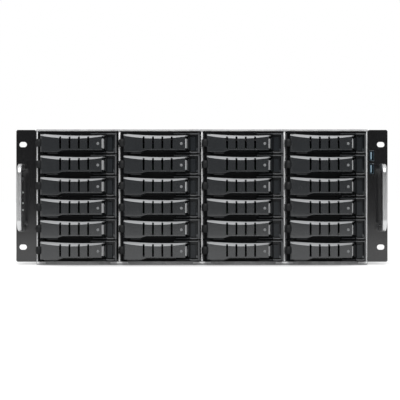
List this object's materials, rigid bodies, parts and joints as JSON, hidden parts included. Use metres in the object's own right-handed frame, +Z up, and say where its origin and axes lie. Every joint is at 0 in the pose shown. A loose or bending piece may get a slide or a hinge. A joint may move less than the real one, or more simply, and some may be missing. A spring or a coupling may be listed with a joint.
{
  "type": "rack-mount storage server chassis",
  "caption": "Four-unit rack chassis: steel tub and sliding top cover, black ears with pull handles, and a front cage of slide-out drive carriers, each with a hinged ribbed lever.",
  "frame": {"origin": "centre of the floor pan's flat underside", "axes": "+X right as seen from the front, front faces -Y, +Z up"},
  "size_m": [0.4826, 0.69, 0.176],
  "materials": {
    "zinc_steel": "zinc-plated sheet",
    "black_paint": "satin black powder coat",
    "satin_aluminium": "satin anodised",
    "carrier_plastic": "fine-grained black",
    "lever_plastic": "satin black",
    "circuit_board": "green solder mask",
    "control_plastic": "gloss",
    "fan_plastic": "moulded black"
  },
  "bodies": {
    "chassis": {"chassis_base": "zinc_steel", "drive_cage": "zinc_steel", "backplanes": "circuit_board", "rack_ears": "black_paint", "ear_handles": "satin_aluminium", "front_controls": "control_plastic", "fan_wall": "fan_plastic"},
    "top_cover": {"top_cover": "zinc_steel"},
    "power_button": {"power_button": "control_plastic"},
    "fan_rotor_left": {"fan_rotor_left": "fan_plastic"},
    "fan_rotor_centre": {"fan_rotor_centre": "fan_plastic"},
    "fan_rotor_right": {"fan_rotor_right": "fan_plastic"},
    "carrier_r1_c1": {"carrier_r1_c1": "carrier_plastic"},
    "lever_r1_c1": {"lever_r1_c1": "lever_plastic"},
    "carrier_r1_c2": {"carrier_r1_c2": "carrier_plastic"},
    "lever_r1_c2": {"lever_r1_c2": "lever_plastic"},
    "carrier_r1_c3": {"carrier_r1_c3": "carrier_plastic"},
    "lever_r1_c3": {"lever_r1_c3": "lever_plastic"},
    "carrier_r1_c4": {"carrier_r1_c4": "carrier_plastic"},
    "lever_r1_c4": {"lever_r1_c4": "lever_plastic"},
    "carrier_r2_c1": {"carrier_r2_c1": "carrier_plastic"},
    "lever_r2_c1": {"lever_r2_c1": "lever_plastic"},
    "carrier_r2_c2": {"carrier_r2_c2": "carrier_plastic"},
    "lever_r2_c2": {"lever_r2_c2": "lever_plastic"},
    "carrier_r2_c3": {"carrier_r2_c3": "carrier_plastic"},
    "lever_r2_c3": {"lever_r2_c3": "lever_plastic"},
    "carrier_r2_c4": {"carrier_r2_c4": "carrier_plastic"},
    "lever_r2_c4": {"lever_r2_c4": "lever_plastic"},
    "carrier_r3_c1": {"carrier_r3_c1": "carrier_plastic"},
    "lever_r3_c1": {"lever_r3_c1": "lever_plastic"},
    "carrier_r3_c2": {"carrier_r3_c2": "carrier_plastic"},
    "lever_r3_c2": {"lever_r3_c2": "lever_plastic"},
    "carrier_r3_c3": {"carrier_r3_c3": "carrier_plastic"},
    "lever_r3_c3": {"lever_r3_c3": "lever_plastic"},
    "carrier_r3_c4": {"carrier_r3_c4": "carrier_plastic"},
    "lever_r3_c4": {"lever_r3_c4": "lever_plastic"},
    "carrier_r4_c1": {"carrier_r4_c1": "carrier_plastic"},
    "lever_r4_c1": {"lever_r4_c1": "lever_plastic"},
    "carrier_r4_c2": {"carrier_r4_c2": "carrier_plastic"},
    "lever_r4_c2": {"lever_r4_c2": "lever_plastic"},
    "carrier_r4_c3": {"carrier_r4_c3": "carrier_plastic"},
    "lever_r4_c3": {"lever_r4_c3": "lever_plastic"},
    "carrier_r4_c4": {"carrier_r4_c4": "carrier_plastic"},
    "lever_r4_c4": {"lever_r4_c4": "lever_plastic"},
    "carrier_r5_c1": {"carrier_r5_c1": "carrier_plastic"},
    "lever_r5_c1": {"lever_r5_c1": "lever_plastic"},
    "carrier_r5_c2": {"carrier_r5_c2": "carrier_plastic"},
    "lever_r5_c2": {"lever_r5_c2": "lever_plastic"},
    "carrier_r5_c3": {"carrier_r5_c3": "carrier_plastic"},
    "lever_r5_c3": {"lever_r5_c3": "lever_plastic"},
    "carrier_r5_c4": {"carrier_r5_c4": "carrier_plastic"},
    "lever_r5_c4": {"lever_r5_c4": "lever_plastic"},
    "carrier_r6_c1": {"carrier_r6_c1": "carrier_plastic"},
    "lever_r6_c1": {"lever_r6_c1": "lever_plastic"},
    "carrier_r6_c2": {"carrier_r6_c2": "carrier_plastic"},
    "lever_r6_c2": {"lever_r6_c2": "lever_plastic"},
    "carrier_r6_c3": {"carrier_r6_c3": "carrier_plastic"},
    "lever_r6_c3": {"lever_r6_c3": "lever_plastic"},
    "carrier_r6_c4": {"carrier_r6_c4": "carrier_plastic"},
    "lever_r6_c4": {"lever_r6_c4": "lever_plastic"}
  },
  "joints": [
    {"name": "top_cover_slide", "type": "slide", "parent": "chassis", "child": "top_cover", "axis": [0, 1, 0], "range_m": [0, 0.43]},
    {"name": "power_button_press", "type": "slide", "parent": "chassis", "child": "power_button", "axis": [0, 1, 0], "range_m": [0, 0.0015], "stiffness_N_per_m": 300},
    {"name": "fan_rotor_left_spin", "type": "hinge", "parent": "chassis", "child": "fan_rotor_left", "pos_m": [-0.1422, -0.1122, 0.088], "axis": [0, 1, 0], "continuous": true},
    {"name": "fan_rotor_centre_spin", "type": "hinge", "parent": "chassis", "child": "fan_rotor_centre", "pos_m": [0, -0.1122, 0.088], "axis": [0, 1, 0], "continuous": true},
    {"name": "fan_rotor_right_spin", "type": "hinge", "parent": "chassis", "child": "fan_rotor_right", "pos_m": [0.1422, -0.1122, 0.088], "axis": [0, 1, 0], "continuous": true},
    {"name": "carrier_r1_c1_slide", "type": "slide", "parent": "chassis", "child": "carrier_r1_c1", "axis": [0, -1, 0], "range_m": [0, 0.18]},
    {"name": "lever_r1_c1_hinge", "type": "hinge", "parent": "carrier_r1_c1", "child": "lever_r1_c1", "pos_m": [-0.2067, -0.3424, 0.15795], "axis": [0, 0, -1], "range_deg": [0, 65]},
    {"name": "carrier_r1_c2_slide", "type": "slide", "parent": "chassis", "child": "carrier_r1_c2", "axis": [0, -1, 0], "range_m": [0, 0.18]},
    {"name": "lever_r1_c2_hinge", "type": "hinge", "parent": "carrier_r1_c2", "child": "lever_r1_c2", "pos_m": [-0.0995, -0.3424, 0.15795], "axis": [0, 0, -1], "range_deg": [0, 65]},
    {"name": "carrier_r1_c3_slide", "type": "slide", "parent": "chassis", "child": "carrier_r1_c3", "axis": [0, -1, 0], "range_m": [0, 0.18]},
    {"name": "lever_r1_c3_hinge", "type": "hinge", "parent": "carrier_r1_c3", "child": "lever_r1_c3", "pos_m": [0.0077, -0.3424, 0.15795], "axis": [0, 0, -1], "range_deg": [0, 65]},
    {"name": "carrier_r1_c4_slide", "type": "slide", "parent": "chassis", "child": "carrier_r1_c4", "axis": [0, -1, 0], "range_m": [0, 0.18]},
    {"name": "lever_r1_c4_hinge", "type": "hinge", "parent": "carrier_r1_c4", "child": "lever_r1_c4", "pos_m": [0.1149, -0.3424, 0.15795], "axis": [0, 0, -1], "range_deg": [0, 65]},
    {"name": "carrier_r2_c1_slide", "type": "slide", "parent": "chassis", "child": "carrier_r2_c1", "axis": [0, -1, 0], "range_m": [0, 0.18]},
    {"name": "lever_r2_c1_hinge", "type": "hinge", "parent": "carrier_r2_c1", "child": "lever_r2_c1", "pos_m": [-0.2067, -0.3424, 0.13025], "axis": [0, 0, -1], "range_deg": [0, 65]},
    {"name": "carrier_r2_c2_slide", "type": "slide", "parent": "chassis", "child": "carrier_r2_c2", "axis": [0, -1, 0], "range_m": [0, 0.18]},
    {"name": "lever_r2_c2_hinge", "type": "hinge", "parent": "carrier_r2_c2", "child": "lever_r2_c2", "pos_m": [-0.0995, -0.3424, 0.13025], "axis": [0, 0, -1], "range_deg": [0, 65]},
    {"name": "carrier_r2_c3_slide", "type": "slide", "parent": "chassis", "child": "carrier_r2_c3", "axis": [0, -1, 0], "range_m": [0, 0.18]},
    {"name": "lever_r2_c3_hinge", "type": "hinge", "parent": "carrier_r2_c3", "child": "lever_r2_c3", "pos_m": [0.0077, -0.3424, 0.13025], "axis": [0, 0, -1], "range_deg": [0, 65]},
    {"name": "carrier_r2_c4_slide", "type": "slide", "parent": "chassis", "child": "carrier_r2_c4", "axis": [0, -1, 0], "range_m": [0, 0.18]},
    {"name": "lever_r2_c4_hinge", "type": "hinge", "parent": "carrier_r2_c4", "child": "lever_r2_c4", "pos_m": [0.1149, -0.3424, 0.13025], "axis": [0, 0, -1], "range_deg": [0, 65]},
    {"name": "carrier_r3_c1_slide", "type": "slide", "parent": "chassis", "child": "carrier_r3_c1", "axis": [0, -1, 0], "range_m": [0, 0.18]},
    {"name": "lever_r3_c1_hinge", "type": "hinge", "parent": "carrier_r3_c1", "child": "lever_r3_c1", "pos_m": [-0.2067, -0.3424, 0.10255], "axis": [0, 0, -1], "range_deg": [0, 65]},
    {"name": "carrier_r3_c2_slide", "type": "slide", "parent": "chassis", "child": "carrier_r3_c2", "axis": [0, -1, 0], "range_m": [0, 0.18]},
    {"name": "lever_r3_c2_hinge", "type": "hinge", "parent": "carrier_r3_c2", "child": "lever_r3_c2", "pos_m": [-0.0995, -0.3424, 0.10255], "axis": [0, 0, -1], "range_deg": [0, 65]},
    {"name": "carrier_r3_c3_slide", "type": "slide", "parent": "chassis", "child": "carrier_r3_c3", "axis": [0, -1, 0], "range_m": [0, 0.18]},
    {"name": "lever_r3_c3_hinge", "type": "hinge", "parent": "carrier_r3_c3", "child": "lever_r3_c3", "pos_m": [0.0077, -0.3424, 0.10255], "axis": [0, 0, -1], "range_deg": [0, 65]},
    {"name": "carrier_r3_c4_slide", "type": "slide", "parent": "chassis", "child": "carrier_r3_c4", "axis": [0, -1, 0], "range_m": [0, 0.18]},
    {"name": "lever_r3_c4_hinge", "type": "hinge", "parent": "carrier_r3_c4", "child": "lever_r3_c4", "pos_m": [0.1149, -0.3424, 0.10255], "axis": [0, 0, -1], "range_deg": [0, 65]},
    {"name": "carrier_r4_c1_slide", "type": "slide", "parent": "chassis", "child": "carrier_r4_c1", "axis": [0, -1, 0], "range_m": [0, 0.18]},
    {"name": "lever_r4_c1_hinge", "type": "hinge", "parent": "carrier_r4_c1", "child": "lever_r4_c1", "pos_m": [-0.2067, -0.3424, 0.07485], "axis": [0, 0, -1], "range_deg": [0, 65]},
    {"name": "carrier_r4_c2_slide", "type": "slide", "parent": "chassis", "child": "carrier_r4_c2", "axis": [0, -1, 0], "range_m": [0, 0.18]},
    {"name": "lever_r4_c2_hinge", "type": "hinge", "parent": "carrier_r4_c2", "child": "lever_r4_c2", "pos_m": [-0.0995, -0.3424, 0.07485], "axis": [0, 0, -1], "range_deg": [0, 65]},
    {"name": "carrier_r4_c3_slide", "type": "slide", "parent": "chassis", "child": "carrier_r4_c3", "axis": [0, -1, 0], "range_m": [0, 0.18]},
    {"name": "lever_r4_c3_hinge", "type": "hinge", "parent": "carrier_r4_c3", "child": "lever_r4_c3", "pos_m": [0.0077, -0.3424, 0.07485], "axis": [0, 0, -1], "range_deg": [0, 65]},
    {"name": "carrier_r4_c4_slide", "type": "slide", "parent": "chassis", "child": "carrier_r4_c4", "axis": [0, -1, 0], "range_m": [0, 0.18]},
    {"name": "lever_r4_c4_hinge", "type": "hinge", "parent": "carrier_r4_c4", "child": "lever_r4_c4", "pos_m": [0.1149, -0.3424, 0.07485], "axis": [0, 0, -1], "range_deg": [0, 65]},
    {"name": "carrier_r5_c1_slide", "type": "slide", "parent": "chassis", "child": "carrier_r5_c1", "axis": [0, -1, 0], "range_m": [0, 0.18]},
    {"name": "lever_r5_c1_hinge", "type": "hinge", "parent": "carrier_r5_c1", "child": "lever_r5_c1", "pos_m": [-0.2067, -0.3424, 0.04715], "axis": [0, 0, -1], "range_deg": [0, 65]},
    {"name": "carrier_r5_c2_slide", "type": "slide", "parent": "chassis", "child": "carrier_r5_c2", "axis": [0, -1, 0], "range_m": [0, 0.18]},
    {"name": "lever_r5_c2_hinge", "type": "hinge", "parent": "carrier_r5_c2", "child": "lever_r5_c2", "pos_m": [-0.0995, -0.3424, 0.04715], "axis": [0, 0, -1], "range_deg": [0, 65]},
    {"name": "carrier_r5_c3_slide", "type": "slide", "parent": "chassis", "child": "carrier_r5_c3", "axis": [0, -1, 0], "range_m": [0, 0.18]},
    {"name": "lever_r5_c3_hinge", "type": "hinge", "parent": "carrier_r5_c3", "child": "lever_r5_c3", "pos_m": [0.0077, -0.3424, 0.04715], "axis": [0, 0, -1], "range_deg": [0, 65]},
    {"name": "carrier_r5_c4_slide", "type": "slide", "parent": "chassis", "child": "carrier_r5_c4", "axis": [0, -1, 0], "range_m": [0, 0.18]},
    {"name": "lever_r5_c4_hinge", "type": "hinge", "parent": "carrier_r5_c4", "child": "lever_r5_c4", "pos_m": [0.1149, -0.3424, 0.04715], "axis": [0, 0, -1], "range_deg": [0, 65]},
    {"name": "carrier_r6_c1_slide", "type": "slide", "parent": "chassis", "child": "carrier_r6_c1", "axis": [0, -1, 0], "range_m": [0, 0.18]},
    {"name": "lever_r6_c1_hinge", "type": "hinge", "parent": "carrier_r6_c1", "child": "lever_r6_c1", "pos_m": [-0.2067, -0.3424, 0.01945], "axis": [0, 0, -1], "range_deg": [0, 65]},
    {"name": "carrier_r6_c2_slide", "type": "slide", "parent": "chassis", "child": "carrier_r6_c2", "axis": [0, -1, 0], "range_m": [0, 0.18]},
    {"name": "lever_r6_c2_hinge", "type": "hinge", "parent": "carrier_r6_c2", "child": "lever_r6_c2", "pos_m": [-0.0995, -0.3424, 0.01945], "axis": [0, 0, -1], "range_deg": [0, 65]},
    {"name": "carrier_r6_c3_slide", "type": "slide", "parent": "chassis", "child": "carrier_r6_c3", "axis": [0, -1, 0], "range_m": [0, 0.18]},
    {"name": "lever_r6_c3_hinge", "type": "hinge", "parent": "carrier_r6_c3", "child": "lever_r6_c3", "pos_m": [0.0077, -0.3424, 0.01945], "axis": [0, 0, -1], "range_deg": [0, 65]},
    {"name": "carrier_r6_c4_slide", "type": "slide", "parent": "chassis", "child": "carrier_r6_c4", "axis": [0, -1, 0], "range_m": [0, 0.18]},
    {"name": "lever_r6_c4_hinge", "type": "hinge", "parent": "carrier_r6_c4", "child": "lever_r6_c4", "pos_m": [0.1149, -0.3424, 0.01945], "axis": [0, 0, -1], "range_deg": [0, 65]}
  ]
}
